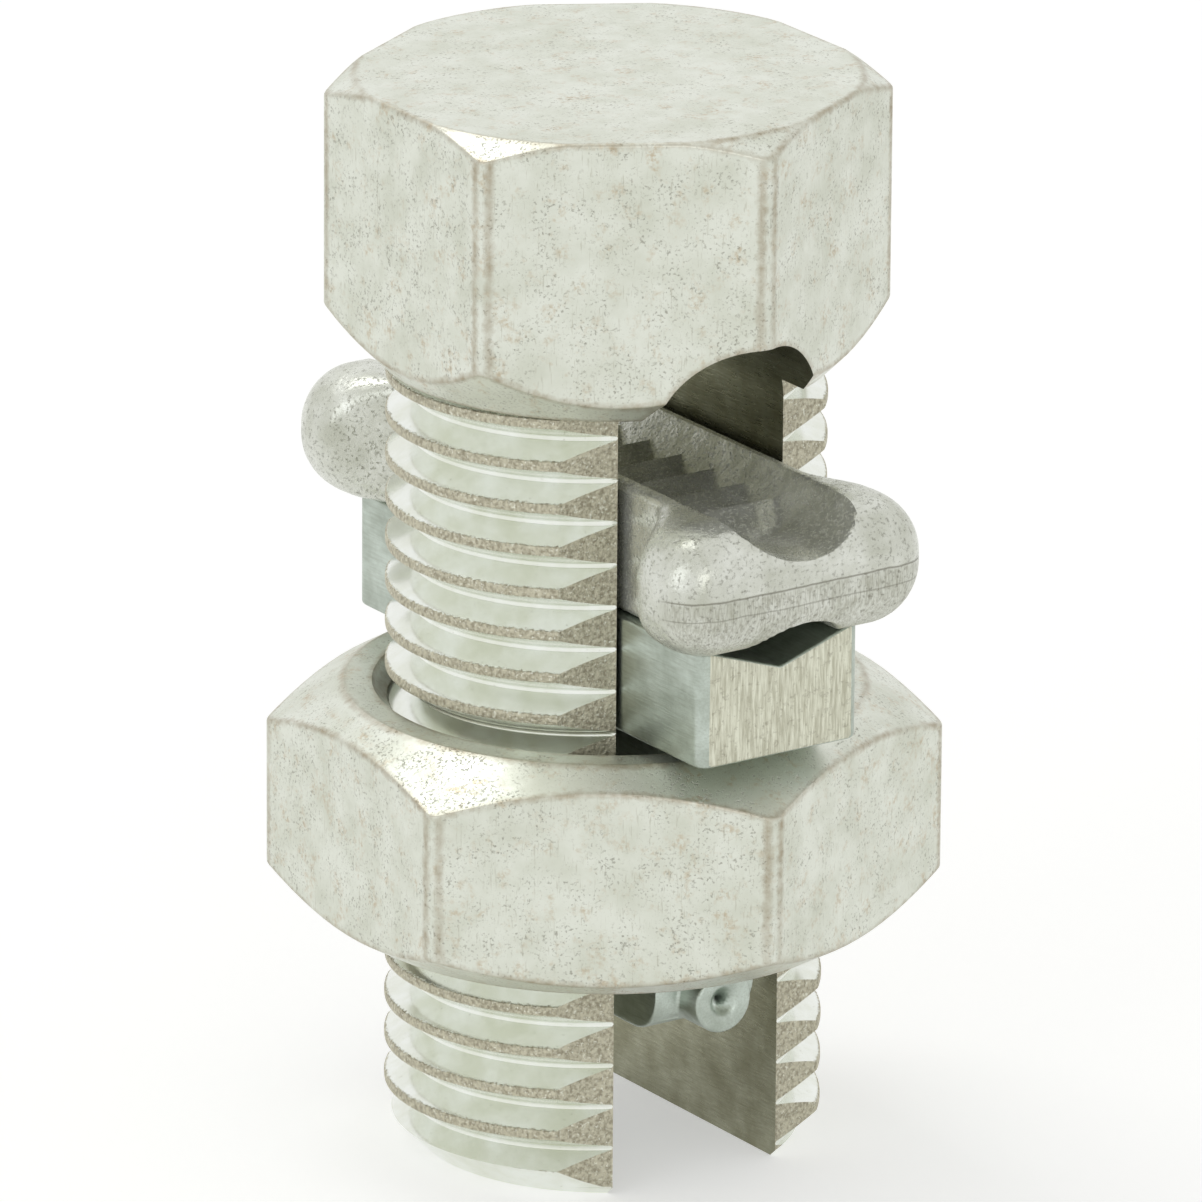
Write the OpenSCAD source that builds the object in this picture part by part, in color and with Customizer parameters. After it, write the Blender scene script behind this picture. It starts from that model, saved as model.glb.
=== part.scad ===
// Split bolt connector: a slotted bolt, a hex nut, a pressure bar staked into the nut and
// a loose dog-bone spacer. It stands on its leg ends. +Z runs up the bolt's axis to the head
// and the wires run along Y. All sizes are in millimetres.

/* [Bolt] */
// Crest diameter of the rolled thread
thread_d = 14.2; // [13.6:0.1:15]
// Axial distance from one thread to the next
pitch = 1.411; // [1.27:0.001:1.588]
// Axial width of a thread's flat crest
crest_w = 0.28; // [0.15:0.01:0.35]
// Axial width of the floor between two threads
floor_w = 0.13; // [0.12:0.01:0.3]
// Length of the legs, from their ends to the underside of the head
shank_len = 26.5; // [25:0.1:32]
// Width of the slot between the legs
slot_w = 6.35; // [5.9:0.05:6.8]
// Height of the slot's round crown above the underside of the head
crown_rise = 2.5; // [1.5:0.1:3.5]
// Length of the 45 degree chamfer on the leg ends
tip_chamfer = 1.1; // [0.6:0.1:1.5]
// Angle of the flats that fade the thread out beside the slot
relief_angle = 13; // [5:1:20]

/* [Bolt head] */
// Distance across the flats of the head
head_af = 15.875; // [15:0.125:17]
// Height of the head
head_h = 9.35; // [8:0.05:11]
// Diameter of the round flat on top of the head
head_flat_d = 16.3; // [15.4:0.1:16.8]
// Angle of the chamfer round the top of the head
head_chamfer_angle = 30; // [20:1:40]
// Angle of the cone under the head's corners
under_angle = 45; // [35:1:50]
// Radial step from the thread crest to the start of that cone
under_step = 0.2; // [0.1:0.05:0.5]

/* [Nut] */
// Distance across the flats of the nut
nut_af = 19.05; // [18:0.05:20.6]
// Height of the nut
nut_h = 7.75; // [6.5:0.05:9]
// Height of the nut's lower face above the leg ends
nut_z = 7.7; // [6:0.1:9]
// Turn of the nut about the bolt
nut_turn = -4; // [-30:1:30]
// Diameter of the round flats on the nut's two faces
nut_flat_d = 17; // [16.4:0.1:18]
// Angle of the chamfers round the nut's corners
nut_chamfer_angle = 30; // [20:1:40]
// Diameter of the countersinks at the ends of the nut's thread
sink_d = 15; // [14.6:0.1:15.6]
// Radial play between the two threads
thread_play = 0.1; // [0.06:0.01:0.14]
// How far the upright corners of both hexagons are cut back
corner_cut = 0.14; // [0.05:0.01:0.3]

/* [Pressure bar] */
// Length of the bar, along the wires
bar_len = 20; // [17:0.5:22]
// Height of the bar
bar_h = 3.85; // [3.2:0.05:4.2]
// Gap between the bar and each wall of the slot
bar_gap = 0.12; // [0.08:0.01:0.2]
// Radius of the bar's upright corners
bar_corner_r = 0.45; // [0.2:0.05:0.8]
// Depth of the V groove along the bar's top
groove_depth = 0.9; // [0.5:0.1:1.2]
// Width of the V groove
groove_w = 5.3; // [4.4:0.1:5.6]
// Height of the bar above the nut's upper face
bar_lift = 0.35; // [0.1:0.05:0.5]
// Thickness of the stem that runs down through the nut
stem_t = 3.8; // [3:0.1:4.6]
// Gap between the stem's four upright edges and the nut's thread
stem_gap = 0.1; // [0.05:0.01:0.3]
// How far the stem stands out below the nut
stem_out = 2.4; // [2.4:0.1:3.5]
// Radius of the stem's lower corners
stem_corner_r = 1.4; // [0.6:0.1:2]
// Diameter of the staked boss on each end of the stem
stake_d = 2.1; // [1.6:0.1:2.2]
// How far a staked boss stands out from the stem
stake_out = 1.05; // [0.7:0.05:1.2]
// Gap between a staked boss and the nut's lower face
stake_gap = 0.15; // [0.1:0.01:0.2]
// Diameter of the punch mark in a staked boss
punch_d = 1.1; // [0.8:0.1:1.4]

/* [Spacer] */
// Length of the spacer, along the wires
spacer_len = 23.2; // [21:0.1:25]
// Width of the spacer across its end lobes
lobe_w = 10; // [9:0.1:11]
// Height of the spacer
spacer_h = 4.35; // [3.8:0.05:4.6]
// Gap between the spacer's waist and each wall of the slot
spacer_gap = 0.3; // [0.1:0.05:0.4]
// Gap between the spacer and the bar that it rests on
seat_gap = 0.02; // [0.01:0.01:0.1]
// Distance over which the waist widens to the lobes
flare_len = 2.2; // [1.6:0.1:2.6]
// Length of the rounding at each end
end_round = 2.1; // [1.4:0.1:2.4]
// Depth of the wire trough along the top
trough_depth = 1.3; // [0.9:0.1:1.5]
// Width of the wire trough
trough_w = 4.8; // [4:0.1:5.2]
// Height of the arch along the bottom
arch_h = 0.95; // [0.5:0.05:1.1]
// Width of the arch
arch_w = 3.9; // [3:0.1:4.4]
// Distance between the teeth across the trough
tooth_pitch = 1.77; // [1.5:0.01:2.2]
// Height of a tooth above the floor of the trough
tooth_h = 0.55; // [0.3:0.05:0.7]
// Length of the run of teeth along the trough
teeth_len = 17.8; // [14:0.1:18.5]

/* [Hidden] */

fine = 96;            // sides of a true circle
turn_steps = 40;      // steps in one turn of a thread
flank_angle = 30;     // half of the thread's included angle
over = 1;             // how far a cutting tool runs past what it cuts
waist_edge_r = 0.35;  // rounding of the spacer's edges along its waist
tooth_root = 0.15;    // how deep the teeth are rooted in the trough
channel_steps = 10;   // steps across the spacer's trough and arch
side_steps = 5;       // steps round each side of the spacer's section
flare_steps = 5;      // steps along each flare of the spacer
end_steps = 6;        // steps along each rounded end of the spacer

thread_h = (pitch - crest_w - floor_w) / 2 / tan(flank_angle);
crest_r = thread_d / 2;
root_r = crest_r - thread_h;
slot_r = slot_w / 2;
crown_top_z = shank_len + crown_rise;
crown_z = crown_top_z - slot_r;
head_corner_r = head_af / 2 / cos(30);
under_r = crest_r + under_step;

nut_corner_r = nut_af / 2 / cos(30);
nut_top_z = nut_z + nut_h;
bore_r = root_r + thread_play;
sink_r = sink_d / 2;

bar_w = slot_w - 2 * bar_gap;
bar_z = nut_top_z + bar_lift;
bar_top_z = bar_z + bar_h;
stem_len = 2 * (sqrt(bore_r * bore_r - stem_t * stem_t / 4) - stem_gap);
stem_z = nut_z - stem_out;
stake_z = nut_z - stake_gap - stake_d / 2;

waist_w = slot_w - 2 * spacer_gap;
spacer_z = bar_top_z + seat_gap;

// Upright prism with six sides and slightly cut corners, flats across X
module hex_prism(af, height) {
    corner_r = af / 2 / cos(30);
    intersection() {
        rotate([0, 0, 30]) cylinder(h = height, r = corner_r, $fn = 6);
        cylinder(h = height, r = corner_r - corner_cut, $fn = fine);
    }
}

// Radius by which a chamfer of the given angle drops from one radius out to another
function chamfer_drop(from_r, to_r, angle) = (to_r - from_r) * tan(angle);

// Threaded rod about Z: one ridge wound round a core, with closed ends.
// Column i holds the four corners of the ridge at its angle, from the foot of its lower
// flank to the foot of its upper flank.
module threaded_rod(core_r, ridge_r, ridge_w, start_z, turns) {
    flank = (ridge_r - core_r) * tan(flank_angle);
    profile = [
        [core_r, -ridge_w / 2 - flank],
        [ridge_r, -ridge_w / 2],
        [ridge_r, ridge_w / 2],
        [core_r, ridge_w / 2 + flank]
    ];
    m = len(profile);
    last = turn_steps * turns;
    function id(i, j) = i * m + j;
    columns = [
        for (i = [0:last])
            for (p = profile)
                [p[0] * cos(360 * i / turn_steps), p[0] * sin(360 * i / turn_steps),
                    start_z + pitch * i / turn_steps + p[1]]
    ];
    low = (last + 1) * m;
    high = low + 1;
    ends = [[0, 0, start_z - pitch], [0, 0, start_z + pitch * (turns + 1)]];
    ridge = [
        for (i = [0:last - 1])
            for (j = [0:m - 2])
                each [[id(i, j), id(i + 1, j + 1), id(i + 1, j)],
                    [id(i, j), id(i, j + 1), id(i + 1, j + 1)]]
    ];
    core = [
        for (i = [0:last - turn_steps - 1])
            each [[id(i, m - 1), id(i + turn_steps + 1, 0), id(i + 1, m - 1)],
                [id(i, m - 1), id(i + turn_steps, 0), id(i + turn_steps + 1, 0)]]
    ];
    bottom = [for (i = [0:turn_steps - 1]) [low, id(i, 0), id(i + 1, 0)]];
    bottom_step = [
        for (j = [0:m - 2]) [low, id(0, j + 1), id(0, j)],
        [low, id(turn_steps, 0), id(0, m - 1)]
    ];
    top = [for (i = [last - turn_steps:last - 1]) [high, id(i + 1, m - 1), id(i, m - 1)]];
    top_step = [
        for (j = [0:m - 2]) [high, id(last, j), id(last, j + 1)],
        [high, id(last - turn_steps, m - 1), id(last, 0)]
    ];
    polyhedron(concat(columns, ends), concat(ridge, core, bottom, bottom_step, top, top_step),
        convexity = 10);
}

// Turns of thread that cover a height, with one spare turn at each end
function turns_for(height) = ceil(height / pitch) + 3;

// Flats beside the slot, where the thread fades out to its root
module slot_edge_relief() {
    wall_y = sqrt(root_r * root_r - slot_r * slot_r);
    reach = thread_d;
    for (side_x = [0, 1])
        for (side_y = [0, 1])
            mirror([side_x, 0, 0]) mirror([0, side_y, 0])
                translate([slot_r, wall_y, -over])
                    linear_extrude(shank_len + over)
                        polygon([[-over, over * tan(relief_angle)],
                            [reach, -reach * tan(relief_angle)], [reach, reach], [-over, reach]]);
}

// Threaded shank with chamfered end and relieved slot edges
module shank() {
    difference() {
        intersection() {
            threaded_rod(root_r, crest_r, crest_w, -2 * pitch, turns_for(shank_len));
            rotate_extrude($fn = fine)
                polygon([[0, 0], [crest_r - tip_chamfer, 0], [crest_r + over, tip_chamfer + over],
                    [crest_r + over, shank_len + crown_rise], [0, shank_len + crown_rise]]);
        }
        slot_edge_relief();
    }
}

// Hexagon head, chamfered on top and coned under its corners
module bolt_head() {
    top_flat_r = head_flat_d / 2;
    rim_r = head_corner_r + over;
    translate([0, 0, shank_len])
        intersection() {
            hex_prism(head_af, head_h);
            rotate_extrude($fn = fine)
                polygon([[0, 0], [under_r, 0],
                    [rim_r, chamfer_drop(under_r, rim_r, under_angle)],
                    [rim_r, head_h - chamfer_drop(top_flat_r, rim_r, head_chamfer_angle)],
                    [top_flat_r, head_h], [0, head_h]]);
        }
}

// Straight-sided slot from the leg ends up to a round crown
module slot() {
    reach = head_af;
    translate([-slot_r, -reach, -over]) cube([slot_w, 2 * reach, crown_z + over]);
    translate([0, -reach, crown_z])
        rotate([-90, 0, 0]) cylinder(h = 2 * reach, r = slot_r, $fn = fine);
}

module split_bolt() {
    color("lightgray")
        difference() {
            union() {
                shank();
                bolt_head();
            }
            slot();
        }
}

// Solid of revolution that chamfers both faces of the nut
module nut_chamfers() {
    flat_r = nut_flat_d / 2;
    rim_r = nut_corner_r + over;
    drop = chamfer_drop(flat_r, rim_r, nut_chamfer_angle);
    rotate_extrude($fn = fine)
        polygon([[0, 0], [flat_r, 0], [rim_r, drop], [rim_r, nut_h - drop], [flat_r, nut_h],
            [0, nut_h]]);
}

// Countersink that opens downwards from a face at z = 0
module sink() {
    translate([0, 0, -over]) cylinder(h = sink_r + over, r1 = sink_r + over, r2 = 0, $fn = fine);
}

module hex_nut() {
    ridge_w = crest_w + 2 * thread_play * (1 - tan(flank_angle));
    color("gainsboro")
        difference() {
            translate([0, 0, nut_z])
                rotate([0, 0, nut_turn])
                    intersection() {
                        hex_prism(nut_af, nut_h);
                        nut_chamfers();
                    }
            translate([0, 0, floor(nut_z / pitch) * pitch])
                threaded_rod(bore_r, crest_r + thread_play, ridge_w, -2 * pitch, turns_for(nut_h));
            translate([0, 0, nut_z]) sink();
            translate([0, 0, nut_top_z]) mirror([0, 0, 1]) sink();
        }
}

// Rectangle about the origin with round corners
module round_rectangle(width, length, radius) {
    square([width - 2 * radius, length], center = true);
    square([width, length - 2 * radius], center = true);
    for (x = [-1, 1])
        for (y = [-1, 1])
            translate([x * (width / 2 - radius), y * (length / 2 - radius)])
                circle(r = radius, $fn = 32);
}

// Boss that the punch raised on the end of the stem, pointing along +Y
module stake() {
    translate([0, stem_len / 2 - over, stake_z])
        rotate([-90, 0, 0])
            difference() {
                cylinder(h = over + stake_out, r = stake_d / 2, $fn = fine);
                translate([0, 0, over + stake_out - punch_d / 2])
                    cylinder(h = punch_d, r1 = 0, r2 = punch_d, $fn = fine);
            }
}

// Stem seen from the side: straight, with round lower corners
module stem() {
    height = bar_z - stem_z;
    translate([-stem_t / 2, 0, stem_z + height / 2])
        rotate([90, 0, 90])
            linear_extrude(stem_t) {
                round_rectangle(stem_len, height, stem_corner_r);
                translate([-stem_len / 2, 0]) square([stem_len, height / 2 + over]);
            }
}

module pressure_bar() {
    color("silver") {
        difference() {
            translate([0, 0, bar_z]) linear_extrude(bar_h) round_rectangle(bar_w, bar_len, bar_corner_r);
            translate([0, bar_len / 2 + over, bar_top_z])
                rotate([90, 0, 0])
                    linear_extrude(bar_len + 2 * over)
                        polygon([[-groove_w / 2, over], [-groove_w / 2, 0], [0, -groove_depth],
                            [groove_w / 2, 0], [groove_w / 2, over]]);
        }
        stem();
        stake();
        mirror([0, 1, 0]) stake();
    }
}

// Radius of a circular arc from its chord and its height
function arc_radius(chord, height) = (chord * chord / 4 + height * height) / (2 * height);

// Depth at x of a round channel that is so wide and so deep
function channel(x, width, depth) =
    let (r = arc_radius(width, depth))
    abs(x) < width / 2 ? depth - r + sqrt(r * r - x * x) : 0;

// Ease from 0 to 1 over the flare outside the thread
function flare(y) =
    let (t = min(1, max(0, (abs(y) - crest_r) / flare_len)))
    t * t * (3 - 2 * t);

// How far the rounded end has drawn in at y: 0 along the spacer, end_round at its very end
function draw_in(y) =
    let (t = max(0, (abs(y) - spacer_len / 2 + end_round) / end_round))
    end_round * (1 - pow(1 - 0.97 * pow(t, 2.4), 1 / 2.4));

// Half width of the spacer at y: straight waist, flare and rounded end
function half_w(y) = waist_w / 2 + (lobe_w - waist_w) / 2 * flare(y) - draw_in(y);

// Half height of the spacer's outline at y, before its trough and arch
function half_h(y) = spacer_h / 2 - 0.9 * draw_in(y);

// Radius of the outline's corners at y: small on the waist, full on the lobes
function corner_r(y) = waist_edge_r + (0.93 * half_h(y) - waist_edge_r) * flare(y);

// Half height of the outline at a point x across the section at y
function outline_h(x, y) =
    let (r = corner_r(y), past = max(0, abs(x) - half_w(y) + r))
    half_h(y) - r + sqrt(max(0, r * r - past * past));

// Places across a section: even over the channel, then closing up on the side
function across(width, y) =
    let (inner = [for (k = [0:channel_steps]) width * (k / channel_steps - 0.5)],
        side = [for (k = [1:side_steps]) width / 2 + (half_w(y) - width / 2) * sin(90 * k / side_steps)])
    concat([for (k = [side_steps - 1:-1:0]) -side[k]], inner, side);

// Outline of the spacer's section at y, up one side of the bottom and back over the top
function section(y) =
    let (low = across(arch_w, y), high = across(trough_w, y), n = len(high) - 1)
    concat(
        [for (x = low) [x, y, -min(outline_h(x, y), spacer_h / 2 - channel(x, arch_w, arch_h))]],
        [for (k = [n:-1:0]) let (x = high[k])
            [x, y, min(outline_h(x, y), spacer_h / 2 - channel(x, trough_w, trough_depth))]]
    );

// Stations along the spacer, close together over the flares and the rounded ends
function stations() =
    let (half = concat(
        [for (k = [0:flare_steps]) crest_r + flare_len * k / flare_steps],
        [for (k = [1:end_steps]) let (start = crest_r + flare_len)
            start + (spacer_len / 2 - start) * sin(90 * k / end_steps)]),
        n = len(half) - 1)
    concat([for (k = [n:-1:0]) -half[k]], half);

// Dog-bone body, lofted through its sections
module spacer_body() {
    places = stations();
    rings = [for (y = places) section(y)];
    m = len(rings[0]);
    last = len(rings) - 1;
    side = [
        for (i = [0:last - 1])
            for (j = [0:m - 1])
                let (a = i * m + j, b = i * m + (j + 1) % m)
                each [[a, b, b + m], [a, b + m, a + m]]
    ];
    caps = [[for (j = [m - 1:-1:0]) j], [for (j = [0:m - 1]) last * m + j]];
    polyhedron([for (r = rings) each r], concat(side, caps), convexity = 10);
}

// Row of saw teeth across the trough, each with its ramp towards -Y
module teeth() {
    floor_z = spacer_h / 2 - trough_depth;
    trough_r = arc_radius(trough_w, trough_depth);
    rise = trough_r - tooth_h;
    half_chord = sqrt(trough_r * trough_r - rise * rise) + tooth_root;
    count = floor(teeth_len / tooth_pitch);
    start = -count * tooth_pitch / 2;
    translate([-half_chord, 0, floor_z])
        rotate([90, 0, 90])
            linear_extrude(2 * half_chord)
                polygon(concat(
                    [[start, -tooth_root]],
                    [for (k = [0:count - 1]) each [
                        [start + k * tooth_pitch, 0], [start + (k + 1) * tooth_pitch, tooth_h]]],
                    [[start + count * tooth_pitch, -tooth_root]]
                ));
}

module spacer() {
    color("darkgray")
        translate([0, 0, spacer_z + spacer_h / 2]) {
            spacer_body();
            teeth();
        }
}

split_bolt();
hex_nut();
pressure_bar();
spacer();
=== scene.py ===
# %% [markdown]
# # A split bolt connector
# A split bolt clamps two bare wires side by side. It has four pieces: a bolt with a slot
# between two threaded legs, a hexagon nut, a pressure bar that is staked into the nut, and a
# loose dog-bone spacer that keeps the two wires apart. All four are copper alloy under a thin
# coat of tin. The solid frame already has the right sizes, so the work here is in the small
# radii that catch the light, and in the eight finishes that show how each surface was made.

# %% The frame
import math
import bmesh
import bpy
from mathutils import Matrix, Vector
from mathutils.kdtree import KDTree


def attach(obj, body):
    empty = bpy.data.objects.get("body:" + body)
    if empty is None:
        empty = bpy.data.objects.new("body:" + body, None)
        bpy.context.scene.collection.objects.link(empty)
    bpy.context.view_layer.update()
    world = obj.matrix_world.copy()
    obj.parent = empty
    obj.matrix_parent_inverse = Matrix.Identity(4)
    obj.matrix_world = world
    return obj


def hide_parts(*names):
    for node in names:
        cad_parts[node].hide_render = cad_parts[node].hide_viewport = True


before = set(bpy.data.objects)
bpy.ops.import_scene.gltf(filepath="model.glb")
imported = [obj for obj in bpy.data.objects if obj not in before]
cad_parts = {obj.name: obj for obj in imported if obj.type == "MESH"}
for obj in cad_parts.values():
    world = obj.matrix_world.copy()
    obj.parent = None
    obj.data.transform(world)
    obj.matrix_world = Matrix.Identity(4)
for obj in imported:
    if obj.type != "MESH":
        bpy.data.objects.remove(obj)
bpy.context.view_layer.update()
MM = 0.001

# %% [markdown]
# ## The camera
# A long lens a good way off keeps the upright edges parallel, as a catalogue picture does. The
# camera stands a little above the connector and looks at it from the front left. It is
# rolled by less than half a degree, because the connector doesn't stand quite true.

# %% Camera
AZIMUTH, ELEVATION, ROLL = math.radians(-34.0), math.radians(18.59), math.radians(0.403)
TARGET = Vector((0, 0, 18.1 * MM))
DISTANCE = 465.5 * MM

lens = bpy.data.cameras.new("camera")
lens.sensor_width = 36.0
lens.lens = 432.8
lens.shift_x = -0.0035
lens.clip_start, lens.clip_end = 0.02, 20.0
camera = bpy.data.objects.new("camera", lens)
bpy.context.collection.objects.link(camera)
back = Vector((math.sin(AZIMUTH) * math.cos(ELEVATION),
               -math.cos(AZIMUTH) * math.cos(ELEVATION), math.sin(ELEVATION)))
camera.location = TARGET + DISTANCE * back
turn = (-back).to_track_quat("-Z", "Y").to_matrix() @ Matrix.Rotation(ROLL, 3, "Z")
camera.rotation_euler = turn.to_euler()
bpy.context.scene.camera = camera
bpy.context.scene.view_settings.view_transform = "Standard"
print("camera at", tuple(round(v, 4) for v in camera.location))

# %% [markdown]
# ## Node trees
# Materials, the world and Geometry Nodes are all made of nodes, and one small helper adds
# any of them: it makes the node, sets its options, and gives each input a value or a link.
# Colours are written as the hex values a screen shows, and one function turns them into the
# linear values that the renderer counts in.

# %% Helpers for nodes
def add_node(tree, kind, inputs=None, **options):
    """Adds a node. inputs maps a socket's name or number to a value or to an output."""
    node = tree.nodes.new(kind)
    for name, value in options.items():
        setattr(node, name, value)
    for key, value in (inputs or {}).items():
        if isinstance(value, bpy.types.NodeSocket):
            tree.links.new(value, node.inputs[key])
        else:
            node.inputs[key].default_value = value
    return node


def linear(hex_colour):
    """The linear RGBA of an sRGB hex colour."""
    parts = [int(hex_colour[i:i + 2], 16) / 255 for i in (1, 3, 5)]
    return tuple(p / 12.92 if p <= 0.04045 else ((p + 0.055) / 1.055) ** 2.4
                 for p in parts) + (1.0,)


print("linear value of tin grey:", tuple(round(v, 3) for v in linear("#D1D4C4")))

# %% [markdown]
# ## The studio
# The connector stands on plain white paper under a soft overhead light. What the camera
# and a mirror-like surface see of the paper and of the world is white by itself, while the
# light that falls on the metal stays at a plain level.

# %% Floor and world
def white_where_seen(tree):
    """1 for what the camera or a reflection sees, and 0 for the light that falls on things."""
    path = add_node(tree, "ShaderNodeLightPath")
    seen = path.outputs["Is Camera Ray"]
    for ray in ("Is Glossy Ray", "Is Transmission Ray"):
        seen = add_node(tree, "ShaderNodeMath", {0: seen, 1: path.outputs[ray]},
                        operation="MAXIMUM").outputs[0]
    return seen


LIGHT_LEVEL, SEEN_LEVEL, PAPER_GLOW = 0.62, 1.0, 0.40
FLOOR_REACH = 3.0

world = bpy.data.worlds.new("white studio")
world.use_nodes = True
bpy.context.scene.world = world
world.node_tree.nodes.clear()
level = add_node(world.node_tree, "ShaderNodeMapRange",
                 {"Value": white_where_seen(world.node_tree), "To Min": LIGHT_LEVEL,
                  "To Max": SEEN_LEVEL})
sky = add_node(world.node_tree, "ShaderNodeBackground",
               {"Color": linear("#FFFFFF"), "Strength": level.outputs[0]})
add_node(world.node_tree, "ShaderNodeOutputWorld", {"Surface": sky.outputs[0]})

paper = bpy.data.materials.new("white paper floor")
paper.use_nodes = True
paper.node_tree.nodes.clear()
matt = add_node(paper.node_tree, "ShaderNodeBsdfDiffuse", {"Color": linear("#E4E4E2")})
glow = add_node(paper.node_tree, "ShaderNodeEmission",
                {"Color": linear("#FFFFFF"), "Strength": PAPER_GLOW})
none = add_node(paper.node_tree, "ShaderNodeBsdfDiffuse", {"Color": linear("#000000")})
seen = add_node(paper.node_tree, "ShaderNodeMixShader",
                {"Fac": white_where_seen(paper.node_tree), 1: none.outputs[0], 2: glow.outputs[0]})
both = add_node(paper.node_tree, "ShaderNodeAddShader", {0: matt.outputs[0], 1: seen.outputs[0]})
add_node(paper.node_tree, "ShaderNodeOutputMaterial", {"Surface": both.outputs[0]})

floor_mesh = bpy.data.meshes.new("floor")
corners = [(x * FLOOR_REACH, y * FLOOR_REACH, 0) for x, y in ((-1, -1), (1, -1), (1, 1), (-1, 1))]
floor_mesh.from_pydata(corners, [], [(0, 1, 2, 3)])
floor_mesh.materials.append(paper)
floor = bpy.data.objects.new("floor", floor_mesh)
bpy.context.collection.objects.link(floor)
print("floor at z = 0")

# %% Lamps
def soft_box(name, direction, distance, size, power, colour="#FFFFFF"):
    """A square area lamp that looks at the middle of the connector."""
    data = bpy.data.lights.new(name, "AREA")
    data.shape = "SQUARE"
    data.size = size
    data.energy = power
    data.color = linear(colour)[:3]
    lamp = bpy.data.objects.new(name, data)
    way = Vector(direction).normalized()
    lamp.location = TARGET + way * distance
    lamp.rotation_euler = way.to_track_quat("Z", "Y").to_euler()
    bpy.context.collection.objects.link(lamp)


soft_box("overhead box", (-0.10, 0.42, 0.90), distance=0.45, size=0.22, power=0.36)
soft_box("left fill", (-0.95, -0.25, 0.45), distance=0.60, size=0.30, power=0.24,
         colour="#F4F8FF")
soft_box("slot fill", (-0.30, -0.92, 0.30), distance=0.60, size=0.20, power=0.16)

# %% [markdown]
# ## Sizes
# The sizes repeat those of the solids, in millimetres, and are turned into metres where the
# shapes are made.

# %% Sizes
THREAD_D, PITCH, CREST_W, FLOOR_W = 14.2, 1.411, 0.28, 0.13
FLANK_ANGLE, ROUNDING = 30.0, 0.07
SHANK_LEN, SLOT_W, CROWN_RISE, TIP_CHAMFER, RELIEF_ANGLE = 26.5, 6.35, 2.5, 1.1, 13.0
HEAD_AF, HEAD_H, HEAD_FLAT_D, HEAD_CHAMFER, UNDER_CONE = 15.875, 9.35, 16.3, 30.0, 45.0
NUT_AF, NUT_H, NUT_Z, NUT_TURN, NUT_FLAT_D, NUT_CHAMFER = 19.05, 7.75, 7.7, -4.0, 17.0, 30.0
SINK_D, SINK_EASE, PLAY, CREST_PLAY = 15.0, 0.12, 0.1, 0.085
SPACER_LEN, LOBE_W, SPACER_H, WAIST_W, SPACER_Z = 23.2, 10.0, 4.35, 5.75, 19.67
CREST_R = THREAD_D / 2
THREAD_H = (PITCH - CREST_W - FLOOR_W) / 2 / math.tan(math.radians(FLANK_ANGLE))
ROOT_R = CREST_R - THREAD_H
SLOT_R = SLOT_W / 2
CROWN_Z = SHANK_LEN + CROWN_RISE - SLOT_R
UNDER_R = CREST_R + 0.2
SAME_POINT, HAIRLINE = 1e-7, 1e-8  # metres: points nearer to each other than this are one
print(f"thread: {THREAD_D} x {PITCH} mm, {THREAD_H:.3f} mm high")

# %% [markdown]
# ## The thread
# A rolled thread is one V groove wound round a rod. Written down, it is a cylinder whose
# radius rises and falls with the height, and whose height gains one pitch in each turn.
# That is a rule, so Geometry Nodes make it: a flat grid is wrapped round the axis, and
# each point looks up its radius from its distance to the nearest crest. Smooth minimum and
# maximum round the crest and the floor, as the dies do. The same tree makes the bolt's
# thread and the tap that cuts the nut.

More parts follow.
